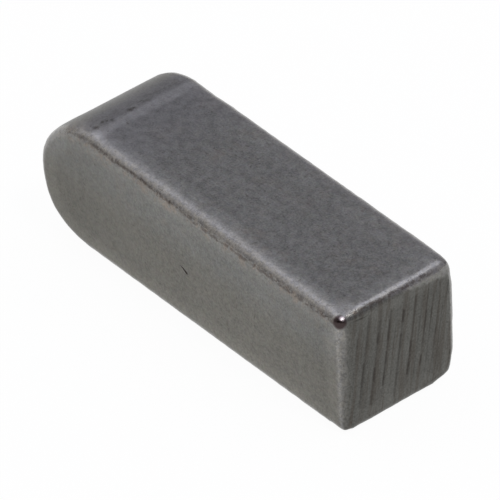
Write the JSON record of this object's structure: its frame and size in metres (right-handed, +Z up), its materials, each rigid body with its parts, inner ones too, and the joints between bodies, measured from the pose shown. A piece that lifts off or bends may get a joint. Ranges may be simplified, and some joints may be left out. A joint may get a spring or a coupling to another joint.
{
  "type": "parallel key",
  "caption": "Steel parallel key with one half-round end and one square end, square in section with rounded edges, for locking a hub to a shaft.",
  "frame": {"origin": "below the middle of the key, on the side face that it lies on", "axes": "+X along the key towards the square end, +Y through its height from the front face to the back face, +Z up across its width"},
  "size_m": [0.016, 0.005, 0.005],
  "materials": {
    "key_steel": "dark grey tumbled steel, matt on the faces and more polished on the rounded edges"
  },
  "bodies": {
    "root": {"parallel_key": "key_steel"}
  },
  "joints": []
}
